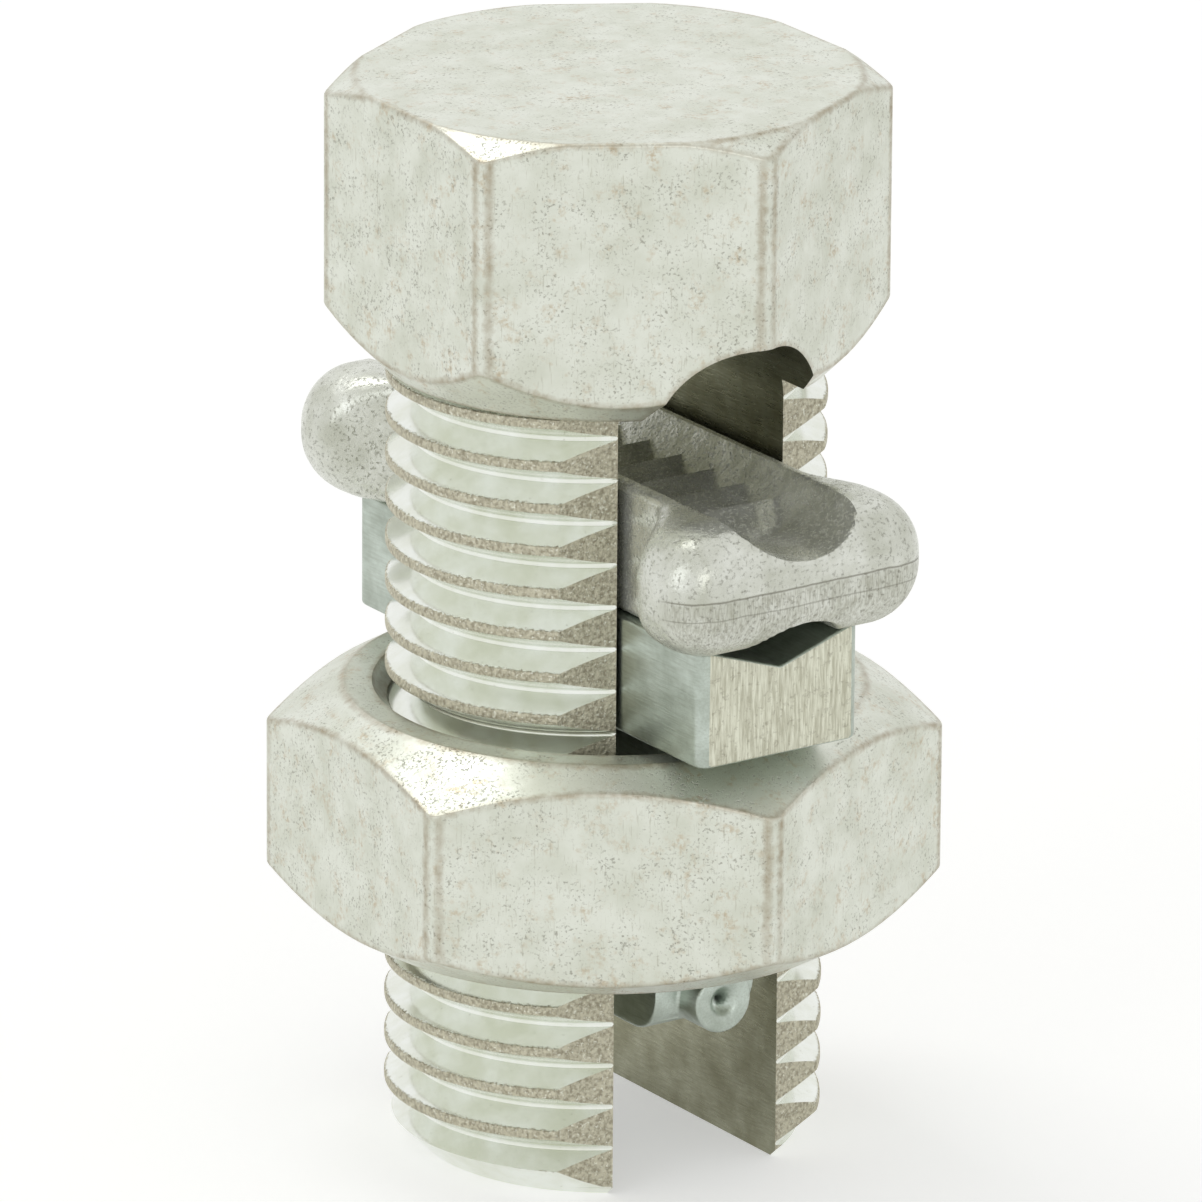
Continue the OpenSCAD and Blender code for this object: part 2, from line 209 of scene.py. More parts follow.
# %% The thread's tree
def thread_tree():
    """The tree that winds a thread and closes each end to a point on the axis."""
    tree = bpy.data.node_groups.new("rolled thread", "GeometryNodeTree")
    face = tree.interface
    for name, kind in (("Crest radius", "Float"), ("Root radius", "Float"), ("Pitch", "Float"),
                       ("Crest width", "Float"), ("Low", "Float"), ("Turns", "Int"),
                       ("Steps round", "Int"), ("Rows in a pitch", "Int"),
                       ("Rounding", "Float"), ("Finish", "Material")):
        face.new_socket(name, in_out="INPUT", socket_type="NodeSocket" + kind)
    face.new_socket("Geometry", in_out="OUTPUT", socket_type="NodeSocketGeometry")
    given = add_node(tree, "NodeGroupInput").outputs

    def sum_up(operation, first, second=0.0, third=0.0):
        return add_node(tree, "ShaderNodeMath", {0: first, 1: second, 2: third},
                        operation=operation).outputs[0]

    rows = sum_up("MULTIPLY", given["Turns"], given["Rows in a pitch"])
    grid = add_node(tree, "GeometryNodeMeshGrid",
                    {"Size X": 1.0, "Size Y": 1.0,
                     "Vertices X": sum_up("ADD", given["Steps round"], 1.0),
                     "Vertices Y": sum_up("ADD", rows, 1.0)})
    place = add_node(tree, "ShaderNodeSeparateXYZ",
                     {0: add_node(tree, "GeometryNodeInputPosition").outputs[0]})
    angle = sum_up("MULTIPLY", sum_up("ADD", place.outputs["X"], 0.5), 2 * math.pi)
    length = sum_up("MULTIPLY", given["Turns"], given["Pitch"])
    along = sum_up("MULTIPLY_ADD", sum_up("ADD", place.outputs["Y"], 0.5), length, given["Low"])
    half = sum_up("MULTIPLY", given["Pitch"], 0.5)
    off_crest = sum_up("SUBTRACT", sum_up("PINGPONG", along, half),
                       sum_up("MULTIPLY", given["Crest width"], 0.5))
    flank = sum_up("SUBTRACT", given["Crest radius"],
                   sum_up("DIVIDE", off_crest, math.tan(math.radians(FLANK_ANGLE))))
    topped = sum_up("SMOOTH_MIN", flank, given["Crest radius"], given["Rounding"])
    radius = sum_up("SMOOTH_MAX", topped, given["Root radius"], given["Rounding"])
    rise = sum_up("MULTIPLY", given["Pitch"], sum_up("DIVIDE", angle, 2 * math.pi))
    spot = add_node(tree, "ShaderNodeCombineXYZ", {
        "X": sum_up("MULTIPLY", radius, sum_up("COSINE", angle)),
        "Y": sum_up("MULTIPLY", radius, sum_up("SINE", angle)),
        "Z": sum_up("ADD", along, rise)})
    wound = add_node(tree, "GeometryNodeSetPosition",
                     {"Geometry": grid.outputs["Mesh"], "Position": spot.outputs[0]})
    sewn = add_node(tree, "GeometryNodeMergeByDistance",
                    {"Geometry": wound.outputs[0], "Distance": SAME_POINT})

    rim = add_node(tree, "FunctionNodeCompare",
                   {"A": add_node(tree, "GeometryNodeInputMeshEdgeNeighbors").outputs[0], "B": 1},
                   data_type="INT", operation="EQUAL")
    lid = add_node(tree, "GeometryNodeExtrudeMesh",
                   {"Mesh": sewn.outputs[0], "Selection": rim.outputs[0], "Offset Scale": 0.0},
                   mode="EDGES")
    height = add_node(tree, "ShaderNodeSeparateXYZ",
                      {0: add_node(tree, "GeometryNodeInputPosition").outputs[0]}).outputs["Z"]
    middle = sum_up("MULTIPLY_ADD", length, 0.5, given["Low"])
    upper = sum_up("GREATER_THAN", height, middle)
    low_end = sum_up("SUBTRACT", given["Low"], given["Pitch"])
    ends = sum_up("MULTIPLY_ADD", given["Pitch"], 3.0, length)
    tip = add_node(tree, "ShaderNodeCombineXYZ",
                   {"Z": sum_up("MULTIPLY_ADD", upper, ends, low_end)})
    closed = add_node(tree, "GeometryNodeSetPosition",
                      {"Geometry": lid.outputs["Mesh"], "Selection": lid.outputs["Top"],
                       "Position": tip.outputs[0]})
    solid = add_node(tree, "GeometryNodeMergeByDistance",
                     {"Geometry": closed.outputs[0], "Distance": SAME_POINT})
    real = add_node(tree, "GeometryNodeRealizeInstances", {0: solid.outputs[0]})
    finish = add_node(tree, "GeometryNodeSetMaterial",
                      {"Geometry": real.outputs[0], "Material": given["Finish"]})
    add_node(tree, "NodeGroupOutput", {0: finish.outputs[0]})
    return tree


THREAD = thread_tree()
print("thread tree:", len(THREAD.nodes), "nodes")

# %% Winding a thread
def plain_mesh(obj):
    """Turns what an object's modifiers make into its own plain mesh."""
    graph = bpy.context.evaluated_depsgraph_get()
    mesh = bpy.data.meshes.new_from_object(obj.evaluated_get(graph), depsgraph=graph)
    obj.modifiers.clear()
    obj.data = mesh
    return obj


def threaded_rod(name, crest_r, root_r, crest_w, low, turns, steps, rows):
    """A closed threaded rod about Z; its crest passes through z = 0 on the X axis."""
    obj = bpy.data.objects.new(name, bpy.data.meshes.new(name))
    bpy.context.collection.objects.link(obj)
    modifier = obj.modifiers.new("thread", "NODES")
    modifier.node_group = THREAD
    sizes = {"Crest radius": crest_r * MM, "Root radius": root_r * MM, "Pitch": PITCH * MM,
             "Crest width": crest_w * MM, "Low": low * MM, "Turns": turns, "Steps round": steps,
             "Rows in a pitch": rows, "Rounding": ROUNDING * MM}
    for item in THREAD.interface.items_tree:
        if item.item_type == "SOCKET" and item.name in sizes:
            modifier[item.identifier] = sizes[item.name]
    return plain_mesh(obj)


rod = threaded_rod("rod", CREST_R, ROOT_R, CREST_W, low=-2 * PITCH, turns=22, steps=120,
                   rows=20)
print("rod:", len(rod.data.polygons), "faces")

# %% [markdown]
# ## Hexagons with worn edges
# The head and the nut are hexagon bar, turned to a chamfer at the corners. Every edge
# is softened by tumbling with thousands of others. So the body is built from its section:
# at each point round the hexagon, the section's corners are replaced by small arcs. It is
# the section moved in by the radius of the arcs and then moved out again, so the arcs
# join without a gap even where the chamfer runs out in the middle of a flat.

# %% Hexagon bodies
HALF_SIDE = math.radians(30)  # the angle from the middle of a flat to its corner
SHARES = (0.15, 0.3, 0.44, 0.58, 0.7, 0.8, 0.87, 0.92, 0.96, 0.985)  # closer near a corner


def hexagon_outline(flat, corner_r):
    """Points of a hexagon with flats across X and rounded corners, anticlockwise."""
    tangent = (flat - corner_r) * math.tan(HALF_SIDE)
    centre = (flat - corner_r) / math.cos(HALF_SIDE)
    shares = [-s for s in reversed(SHARES)] + [0, *SHARES, 1.0]
    sector = [(flat, tangent * s) for s in shares]
    for k in range(1, 7):
        a = math.radians(60 * k / 6)
        sector.append((centre * math.cos(HALF_SIDE) + corner_r * math.cos(a),
                       centre * math.sin(HALF_SIDE) + corner_r * math.sin(a)))
    points = []
    for side in range(6):
        c, s = math.cos(math.radians(60 * side)), math.sin(math.radians(60 * side))
        points += [(x * c - y * s, x * s + y * c) for x, y in sector]
    return points


def quarter(reach, flat_r, angle, q, inner_rows):
    """Section from the middle of a face out to the side, as (radius, depth below the face).

    reach is the body's radius here, and the corners are rounded to the radius q."""
    slope = math.tan(math.radians(angle))
    lift = q * (1 / math.cos(math.radians(angle)) - slope)
    side = reach - q
    knee = flat_r + (lift - q) / slope if slope else side
    first = min(knee, side)
    drop = max(0.0, (side - knee) * slope)
    turn_at = math.radians(90 - angle)
    rows = [(first * f, 0.0) for f in inner_rows]
    for k in range(4):
        a = math.pi / 2 + (turn_at - math.pi / 2) * k / 3
        rows.append((first + q * math.cos(a), q - q * math.sin(a)))
    for f in (0.12, 0.5, 0.88):
        rows.append((first + (side - first) * f + q * math.cos(turn_at),
                     drop * f + q - q * math.sin(turn_at)))
    for k in range(6):
        a = turn_at * (1 - k / 5)
        rows.append((side + q * math.cos(a), drop + q - q * math.sin(a)))
    return rows


def hexagon_body(name, flat, low, high, low_face, high_face, corner_r=0.55, q=0.13, turned=0.0):
    """A closed hexagon body. low_face and high_face are (radius of the flat, chamfer angle)."""
    outline = hexagon_outline(flat, corner_r)
    inner = (0.3, 0.6, 0.8, 0.9, 0.95, 0.985)
    edge = [0.1, 0.25, 0.45, 0.75, 1.2]
    columns = []
    for x, y in outline:
        reach = math.hypot(x, y)
        top = [(r, high - d) for r, d in quarter(reach, *high_face, q, inner)]
        bottom = [(r, low + d) for r, d in quarter(reach, *low_face, q, inner)]
        z1, z0 = top[-1][1], bottom[-1][1]
        side = [(reach, z1 - e) for e in edge]
        side += [(reach, z1 - edge[-1] - (z1 - z0 - 2 * edge[-1]) * k / 5) for k in range(1, 5)]
        side += [(reach, z0 + e) for e in reversed(edge)]
        section = top + side + bottom[::-1]
        angle = math.atan2(y, x) + math.radians(turned)
        columns.append([(r * math.cos(angle) * MM, r * math.sin(angle) * MM, z * MM)
                        for r, z in section])
    count, rows = len(columns), len(columns[0])
    points = [p for column in columns for p in column] + [(0, 0, high * MM), (0, 0, low * MM)]
    faces = []
    for i in range(count):
        j = (i + 1) % count
        faces.append((count * rows, i * rows, j * rows))
        faces.append((count * rows + 1, j * rows + rows - 1, i * rows + rows - 1))
        for k in range(rows - 1):
            faces.append((i * rows + k, i * rows + k + 1, j * rows + k + 1, j * rows + k))
    return new_piece(name, points, faces)


def new_piece(name, points, faces):
    """An object at the origin with this mesh, its double points merged, facing outwards."""
    mesh = bpy.data.meshes.new(name)
    mesh.from_pydata(points, [], faces)
    work = bmesh.new()
    work.from_mesh(mesh)
    bmesh.ops.remove_doubles(work, verts=work.verts, dist=HAIRLINE)
    bmesh.ops.dissolve_degenerate(work, edges=work.edges, dist=HAIRLINE)
    bmesh.ops.recalc_face_normals(work, faces=work.faces)
    work.to_mesh(mesh)
    work.free()
    obj = bpy.data.objects.new(name, mesh)
    bpy.context.collection.objects.link(obj)
    return obj


head = hexagon_body("head", HEAD_AF / 2, SHANK_LEN, SHANK_LEN + HEAD_H, (UNDER_R, UNDER_CONE),
                    (HEAD_FLAT_D / 2, HEAD_CHAMFER))
blank = hexagon_body("nut_body", NUT_AF / 2, NUT_Z, NUT_Z + NUT_H, (NUT_FLAT_D / 2, NUT_CHAMFER),
                     (NUT_FLAT_D / 2, NUT_CHAMFER), turned=NUT_TURN)
print("head:", len(head.data.polygons), "faces, nut blank:", len(blank.data.polygons))

# %% [markdown]
# ## Cutting
# The bolt is then made in the order the shop makes it: the thread is rolled, the leg ends
# are chamfered, the head is joined on, the thread is relieved beside the slot, and the slot
# is milled up into the head. Each cut is a Boolean with a plain tool, made from points.

# %% Cutting tools
SPARE, RELIEF_REACH, SLOT_REACH = 1, 12, 16  # how far the tools stand clear of what they cut


def carve(obj, tool, operation="DIFFERENCE"):
    """Cuts, joins or trims obj with a closed tool, which is used up."""
    modifier = obj.modifiers.new("cut", "BOOLEAN")
    modifier.object = tool
    modifier.operation = operation
    modifier.solver = "EXACT"
    plain_mesh(obj)
    bpy.data.objects.remove(tool)
    return obj


def turned_tool(name, section, steps=192):
    """A closed solid of revolution from a section of (radius, z), top to bottom."""
    points, faces, rows = [], [], len(section)
    for i in range(steps):
        a = 2 * math.pi * i / steps
        points += [(r * math.cos(a) * MM, r * math.sin(a) * MM, z * MM) for r, z in section]
    for i in range(steps):
        j = (i + 1) % steps
        for k in range(rows - 1):
            faces.append((i * rows + k, i * rows + k + 1, j * rows + k + 1, j * rows + k))
    return new_piece(name, points, faces)


def prism_tool(name, outline, low, high, lift=lambda x, y, z: (x, y, z)):
    """A closed prism over an outline of (x, y), stood up or laid down by lift."""
    n = len(outline)
    points = [lift(x, y, low) for x, y in outline] + [lift(x, y, high) for x, y in outline]
    faces = [tuple(range(n))[::-1], tuple(range(n, 2 * n))]
    faces += [(k, (k + 1) % n, n + (k + 1) % n, n + k) for k in range(n)]
    return new_piece(name, [(x * MM, y * MM, z * MM) for x, y, z in points], faces)


rod_top = SHANK_LEN + 1.5
envelope = turned_tool("envelope", [(0, rod_top), (CREST_R + SPARE, rod_top),
                                    (CREST_R + SPARE, TIP_CHAMFER + SPARE),
                                    (CREST_R - TIP_CHAMFER, 0), (0, 0)])
bolt = carve(rod, envelope, "INTERSECT")
bolt.name = "bolt"
wall_y = math.sqrt(ROOT_R ** 2 - SLOT_R ** 2)
fall = math.tan(math.radians(RELIEF_ANGLE))
for sx in (-1, 1):
    for sy in (-1, 1):
        flat = [(SLOT_R - SPARE, wall_y + SPARE * fall),
                (SLOT_R + RELIEF_REACH, wall_y - RELIEF_REACH * fall),
                (SLOT_R + RELIEF_REACH, wall_y + RELIEF_REACH),
                (SLOT_R - SPARE, wall_y + RELIEF_REACH)]
        carve(bolt, prism_tool("relief", [(sx * x, sy * y) for x, y in flat], -SPARE, SHANK_LEN))
carve(bolt, head, "UNION")
arc = [(SLOT_R * math.cos(math.radians(a)), CROWN_Z + SLOT_R * math.sin(math.radians(a)))
       for a in range(0, 181, 4)]
carve(bolt, prism_tool("slot", [(SLOT_R, -SPARE)] + arc + [(-SLOT_R, -SPARE)], -SLOT_REACH,
                       SLOT_REACH, lambda x, y, z: (x, z, y)))
print("bolt:", len(bolt.data.polygons), "faces")

# %% The nut
tap = threaded_rod("tap", CREST_R + PLAY, ROOT_R + PLAY, CREST_W + CREST_PLAY, low=3 * PITCH,
                   turns=11, steps=96, rows=12)
nut = carve(blank, tap)
nut.name = "nut"
sink = SINK_D / 2
for z, way in ((NUT_Z, 1), (NUT_Z + NUT_H, -1)):
    cone = [(0, z - way), (sink + SPARE, z - way), (sink + SINK_EASE, z - way * SINK_EASE),
            (sink - SINK_EASE, z + way * 0.16), (0.01, z + way * sink), (0, z + way * sink)]
    carve(nut, turned_tool("sink", cone))
print("nut:", len(nut.data.polygons), "faces")

# %% [markdown]
# ## The pressure bar
# The bar is sawn off a drawn strip, so its shape in the frame is already right. A copy
# of it, with its loose triangles merged and its flat faces made whole again, gets a small
# bevel on each edge.

# %% The bar
BAR_BEVEL = 0.12


def copy_of(node, name):
    """A merged copy of a frame node, with its flat faces made whole."""
    work = bmesh.new()
    work.from_mesh(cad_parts[node].data)
    bmesh.ops.remove_doubles(work, verts=work.verts, dist=SAME_POINT)
    bmesh.ops.dissolve_limit(work, angle_limit=math.radians(0.5), verts=work.verts,
                             edges=work.edges)
    mesh = bpy.data.meshes.new(name)
    work.to_mesh(mesh)
    work.free()
    obj = bpy.data.objects.new(name, mesh)
    bpy.context.collection.objects.link(obj)
    return obj


bar = copy_of("pressure_bar", "bar")
bevel = bar.modifiers.new("edges", "BEVEL")
bevel.width = BAR_BEVEL * MM
bevel.segments = 3
bevel.limit_method = "ANGLE"
bevel.angle_limit = math.radians(35)
bevel.material = 1
print("bar:", len(bar.data.polygons), "faces before its bevels")

# %% [markdown]
# ## The spacer
# The spacer is cast and tumbled, so nothing on it is straight or sharp: a waist that
# fits the slot, two lobes at each end, a trough with saw teeth on top and an arch below.
# It is lofted through sections along the wires. Its top is a height over each point, so a
# tooth is simply the higher of the trough and a ramp.

# %% The spacer's shape
FLARE_LEN, END_ROUND, TROUGH_D, TROUGH_W, ARCH_H, ARCH_W = 2.2, 2.1, 1.3, 4.8, 0.95, 3.9
TOOTH_PITCH, TOOTH_H, TEETH = 1.77, 0.55, 10


def channel(x, width, depth):
    """Depth at x of a round channel with this width and depth, and 0 beside it."""
    r = (width ** 2 / 4 + depth ** 2) / (2 * depth)
    return depth - r + math.sqrt(r * r - x * x) if abs(x) < width / 2 else 0.0


def flare(y):
    """0 along the waist and 1 at the lobes, with an S curve between them."""
    t = min(1, max(0, (abs(y) - CREST_R) / FLARE_LEN))
    return t * t * (3 - 2 * t)


def draw_in(y):
    """How far the round end draws the outline in at y."""
    t = min(1, max(0, (abs(y) - SPACER_LEN / 2 + END_ROUND) / END_ROUND))
    return END_ROUND * (1 - (1 - 0.97 * t ** 2.4) ** (1 / 2.4))


def tooth(y):
    """Height of the ramps over the floor of the trough, which fall towards -Y."""
    along = y + TEETH * TOOTH_PITCH / 2
    if not 0 < along < TEETH * TOOTH_PITCH:
        return -1.0
    return TOOTH_H * (along % TOOTH_PITCH) / TOOTH_PITCH


def section(y, columns=44):
    """Points round the spacer at y, up one side of the bottom and back over the top."""
    half_w = WAIST_W / 2 + (LOBE_W - WAIST_W) / 2 * flare(y) - draw_in(y)
    half_h = SPACER_H / 2 - 0.9 * draw_in(y)
    r = 0.35 + (0.93 * half_h - 0.35) * flare(y)
    floor_z = SPACER_H / 2 - TROUGH_D

    def outline(x):
        past = max(0.0, abs(x) - half_w + r)
        return half_h - r + math.sqrt(max(0.0, r * r - past * past))

    across = [half_w * math.sin(math.radians(90 * k / columns))
              for k in range(-columns, columns + 1)]
    bottom = [(x, y, -min(outline(x), SPACER_H / 2 - channel(x, ARCH_W, ARCH_H)))
              for x in across]
    top = []
    for x in reversed(across):
        dish = SPACER_H / 2 - channel(x, TROUGH_W, TROUGH_D)
        if abs(x) < TROUGH_W / 2:
            dish = max(dish, floor_z + tooth(y))
        top.append((x, y, min(outline(x), dish)))
    return bottom + top[1:-1]


RING_STEP, END_RINGS = 0.14, 20
lobe_len = SPACER_LEN / 2 - CREST_R - FLARE_LEN
half = [RING_STEP * k for k in range(0, 65)]
half += [CREST_R + FLARE_LEN + lobe_len * math.sin(math.radians(90 * k / END_RINGS))
         for k in range(1, END_RINGS + 1)]
steep = [(k - TEETH / 2) * TOOTH_PITCH + s for k in range(1, TEETH + 1)
         for s in (-0.04, -0.015, 0.015)]
places = sorted(set([-y for y in half] + half + steep))
rings = [section(y) for y in places]
n = len(rings[0])
points = [(x * MM, y * MM, (z + SPACER_Z + SPACER_H / 2) * MM)
          for ring in rings for x, y, z in ring]
faces = [(i * n + j, i * n + (j + 1) % n, (i + 1) * n + (j + 1) % n, (i + 1) * n + j)
         for i in range(len(rings) - 1) for j in range(n)]
faces += [tuple(range(n))[::-1], tuple((len(rings) - 1) * n + j for j in range(n))]
spacer = new_piece("spacer", points, faces)
print("spacer:", len(spacer.data.polygons), "faces")

# %% [markdown]
# ## Where the edges are
# Handling wears tin off the edges first. To know how far a point is from an edge, the
# sharp edges of the frame's solids are sampled, and each point of a piece looks up the
# nearest sample. The distance is kept on the mesh, in millimetres, for the materials.

# %% Distance to the edges
FAR_MM = 5.0  # what edge_mm says of any point that is further off


def sharp_edges(node, angle=25.0, step=0.12 * MM):
    """A search tree of points along the outward edges of a frame node."""
    spots = []
    work = bmesh.new()
    work.from_mesh(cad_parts[node].data)
    bmesh.ops.remove_doubles(work, verts=work.verts, dist=SAME_POINT)
    for edge in work.edges:
        outward = len(edge.link_faces) == 2 and edge.is_convex
        if outward and edge.calc_face_angle(0) > math.radians(angle):
            a, b = edge.verts[0].co, edge.verts[1].co
            count = max(1, int((b - a).length / step))
            spots += [a.lerp(b, k / count) for k in range(count + 1)]
    work.free()
    tree = KDTree(len(spots))
    for k, spot in enumerate(spots):
        tree.insert(spot, k)
    tree.balance()
    return tree


def mark_edges(obj, tree, wanted=lambda co: True):
    """Writes the distance to the nearest edge, in millimetres, as the attribute edge_mm."""
    layer = obj.data.attributes.new("edge_mm", "FLOAT", "POINT")
    layer.data.foreach_set("value", [min(FAR_MM, tree.find(v.co)[2] / MM) if wanted(v.co)
                                     else FAR_MM for v in obj.data.vertices])


plain_mesh(bar)
mark_edges(bolt, sharp_edges("split_bolt"), lambda co: co.z > (SHANK_LEN - 0.2) * MM)
mark_edges(nut, sharp_edges("hex_nut"))
print("bar:", len(bar.data.polygons), "faces with its bevels")

# %% [markdown]
# ## Tin in eight finishes
# All four pieces have the same coat of tin, but each surface shows how it was made. A
# pattern is noise on the object's own coordinates, and its size is given in
# millimetres: a noise of 0.1 mm has a scale of one over 0.1 mm. One function makes a mask from
# noise, and one lays a second colour over a first where a mask says so.

# %% Patterns
def noise_mask(tree, size_mm, low, high, stretch=(1, 1, 1), turned=(0, 0, 0), detail=3.0,
               seed=0.0):
    """0 below the noise level low and 1 above high, in spots of about size_mm."""
    where = add_node(tree, "ShaderNodeTexCoord").outputs["Object"]
    placed = add_node(tree, "ShaderNodeMapping",
                      {"Vector": where, "Location": (seed, seed, seed), "Rotation": turned,
                       "Scale": tuple(1 / (size_mm * MM * s) for s in stretch)})
    noise = add_node(tree, "ShaderNodeTexNoise",
                     {"Vector": placed.outputs[0], "Scale": 1.0, "Detail": detail,
                      "Roughness": 0.6})
    return add_node(tree, "ShaderNodeMapRange",
                    {"Value": noise.outputs["Fac"], "From Min": low, "From Max": high}).outputs[0]


def over(tree, under, colour, mask):
    """One colour laid over another where the mask is 1. Each is a hex colour or an output."""
    mix = add_node(tree, "ShaderNodeMix", {0: mask}, data_type="RGBA")
    sockets = [k for k in mix.inputs if k.type == "RGBA"]
    for socket, value in zip(sockets, (under, colour)):
        if isinstance(value, str):
            socket.default_value = linear(value)
        else:
            tree.links.new(value, socket)
    return [k for k in mix.outputs if k.type == "RGBA"][0]


def maths(tree, operation, *values):
    """One sum on outputs or numbers."""
    return add_node(tree, "ShaderNodeMath", dict(enumerate(values)),
                    operation=operation).outputs[0]


def span(tree, value, low, high, to_low=0.0, to_high=1.0):
    """value from low to high, turned into a number from to_low to to_high."""
    return add_node(tree, "ShaderNodeMapRange", {"Value": value, "From Min": low, "From Max": high,
                                                 "To Min": to_low, "To Max": to_high}).outputs[0]


def metal(name, paint, metallic=1.0):
    """A metal whose colour, roughness and height come from paint(tree).

    Below 1, metallic leaves room for the thin grey film that dulls old tin."""
    made = bpy.data.materials.new(name)
    made.use_nodes = True
    tree = made.node_tree
    tree.nodes.clear()
    colour, roughness, height, depth_mm = paint(tree)
    bump = add_node(tree, "ShaderNodeBump", {"Height": height, "Strength": 0.8,
                                             "Distance": depth_mm * MM})
    shader = add_node(tree, "ShaderNodeBsdfPrincipled",
                      {"Base Color": colour, "Metallic": metallic, "Roughness": roughness,
                       "Normal": bump.outputs[0]})
    add_node(tree, "ShaderNodeOutputMaterial", {"Surface": shader.outputs[0]})
    return made


def place_of(tree):
    """The x, y and z of a point of the object, in metres."""
    where = add_node(tree, "ShaderNodeTexCoord").outputs["Object"]
    return add_node(tree, "ShaderNodeSeparateXYZ", {0: where}).outputs


print("patterns ready")

# %% [markdown]
# ### Tumbled tin plate
# The flats of the head and the nut were tumbled after they were forged, and plated over the
# marks. They look like pale satin with fine pits and scratches that hold a little dark tarnish,
# beige stains a millimetre wide, and a tan line along each edge where the tin has rubbed thin.

# %% Head and nut
def tumbled(tree):
    cloud = noise_mask(tree, 1.6, 0.38, 0.66, detail=4.0)
    colour = over(tree, "#E0E3D8", "#CDD0C1", maths(tree, "MULTIPLY", cloud, 0.75))
    stain = maths(tree, "MULTIPLY", noise_mask(tree, 0.75, 0.53, 0.70, detail=6.0, seed=3.0),
                  noise_mask(tree, 0.16, 0.42, 0.60, seed=4.0))
    colour = over(tree, colour, "#BFAF92", maths(tree, "MULTIPLY", stain, 0.8))
    specks = maths(tree, "MULTIPLY", noise_mask(tree, 0.10, 0.55, 0.66, detail=4.0, seed=7.0),
                   noise_mask(tree, 1.1, 0.36, 0.60, seed=8.0))
    colour = over(tree, colour, "#99978A", maths(tree, "MULTIPLY", specks, 0.7))
    streak = noise_mask(tree, 0.07, 0.60, 0.72, stretch=(1, 1, 9), seed=9.0)
    colour = over(tree, colour, "#A8A592", maths(tree, "MULTIPLY", streak, 0.45))
    edge = add_node(tree, "ShaderNodeAttribute", attribute_name="edge_mm").outputs["Fac"]
    ragged = maths(tree, "MULTIPLY_ADD", noise_mask(tree, 0.3, 0.3, 0.7, detail=6.0, seed=11.0),
                   0.16, edge)
    patchy = noise_mask(tree, 1.6, 0.30, 0.62, detail=3.0, seed=13.0)
    worn = maths(tree, "MULTIPLY", span(tree, ragged, 0.06, 0.30, 1.0, 0.0),
                 maths(tree, "MULTIPLY_ADD", patchy, 0.55, 0.35))
    colour = over(tree, colour, "#A0937A", worn)
    rough = maths(tree, "MULTIPLY_ADD", specks, 0.22,
                  maths(tree, "MULTIPLY_ADD", cloud, 0.08, 0.34))
    height = maths(tree, "SUBTRACT", maths(tree, "MULTIPLY", cloud, 0.25), specks)
    return colour, rough, height, 0.012


TUMBLED = metal("tumbled tin plate", tumbled, 0.85)
print(TUMBLED.name)

# %% [markdown]
# ### Rolled thread
# The dies press on the flanks and the floor of the thread and leave them burnished, so they
# mirror the room in long clean bands. They never reach the crests, nor the flats beside
# the slot, which keep the grain of the blank: a rough, tan line that gathers dirt.

# %% Thread
def rolled(tree, crest_only=True):
    """Bright flanks with grainy crests, or the grain all over if crest_only is false."""
    place = place_of(tree)
    squares = [maths(tree, "MULTIPLY", place[axis], place[axis]) for axis in "XY"]
    radius = maths(tree, "SQRT", maths(tree, "ADD", *squares))
    grain = noise_mask(tree, 0.11, 0.30, 0.70, detail=4.0, seed=2.0)
    if crest_only:
        ragged = maths(tree, "MULTIPLY_ADD", grain, 0.10 * MM, radius)
        crest = span(tree, ragged, (CREST_R - 0.03) * MM, (CREST_R + 0.01) * MM)
    else:
        crest = span(tree, radius, 0.0, 1.0 * MM)
    cloud = noise_mask(tree, 1.3, 0.35, 0.65, detail=3.0, seed=5.0)
    colour = over(tree, "#EEF1EB", "#E3E6DA", cloud)
    specks = noise_mask(tree, 0.12, 0.66, 0.74, detail=4.0, seed=6.0)
    colour = over(tree, colour, "#A2A08C", maths(tree, "MULTIPLY", specks, 0.6))
    dirt = over(tree, "#CBC7B2", "#A09A86",
                noise_mask(tree, 0.13, 0.42, 0.62, detail=5.0, seed=12.0))
    dirt = over(tree, dirt, "#E4E4D6", noise_mask(tree, 0.10, 0.58, 0.68, detail=3.0, seed=14.0))
    colour = over(tree, colour, dirt, crest)
    rough = span(tree, crest, 0.0, 1.0, 0.17, 0.55)
    height = maths(tree, "MULTIPLY", grain, crest)
    return colour, rough, height, 0.03


ROLLED = metal("rolled tin plated thread", rolled, 0.9)
UNROLLED = metal("rough tin plate beside the slot", lambda tree: rolled(tree, False), 0.8)
print(ROLLED.name, "and", UNROLLED.name)

# %% [markdown]
# ### Milled slot, with painted shade
# The cutter leaves the walls of the slot smooth, with faint lines across the way in which the
# cutter went. Their colour is painted darker as painted shade, for the dark that the walls reflect
# in the slot.

# %% Slot
def milled_with_painted_shade(tree):
    lines = noise_mask(tree, 0.06, 0.40, 0.66, stretch=(1, 12, 1), seed=15.0)
    cloud = noise_mask(tree, 1.5, 0.35, 0.65, detail=4.0, seed=16.0)
    # The two dark tones #A9A994 and #8C8B74 are painted shade for the slot's dark inside; the
    # cutter lines over them are real marks.
    colour = over(tree, "#A9A994", "#8C8B74", cloud)
    colour = over(tree, colour, "#77745E", maths(tree, "MULTIPLY", lines, 0.35))
    rough = maths(tree, "MULTIPLY_ADD", lines, 0.10, 0.27)
    return colour, rough, lines, 0.004


MILLED_WITH_PAINTED_SHADE = metal("milled slot wall with painted shade", milled_with_painted_shade)
print(MILLED_WITH_PAINTED_SHADE.name)

# %% [markdown]
# ### Drawn and sawn bar
# The long faces of the bar are as the drawing die left them, smooth and a little bluish.
# Its ends show the saw: slanting lines from edge to edge, with copper coming through along the
# corners.

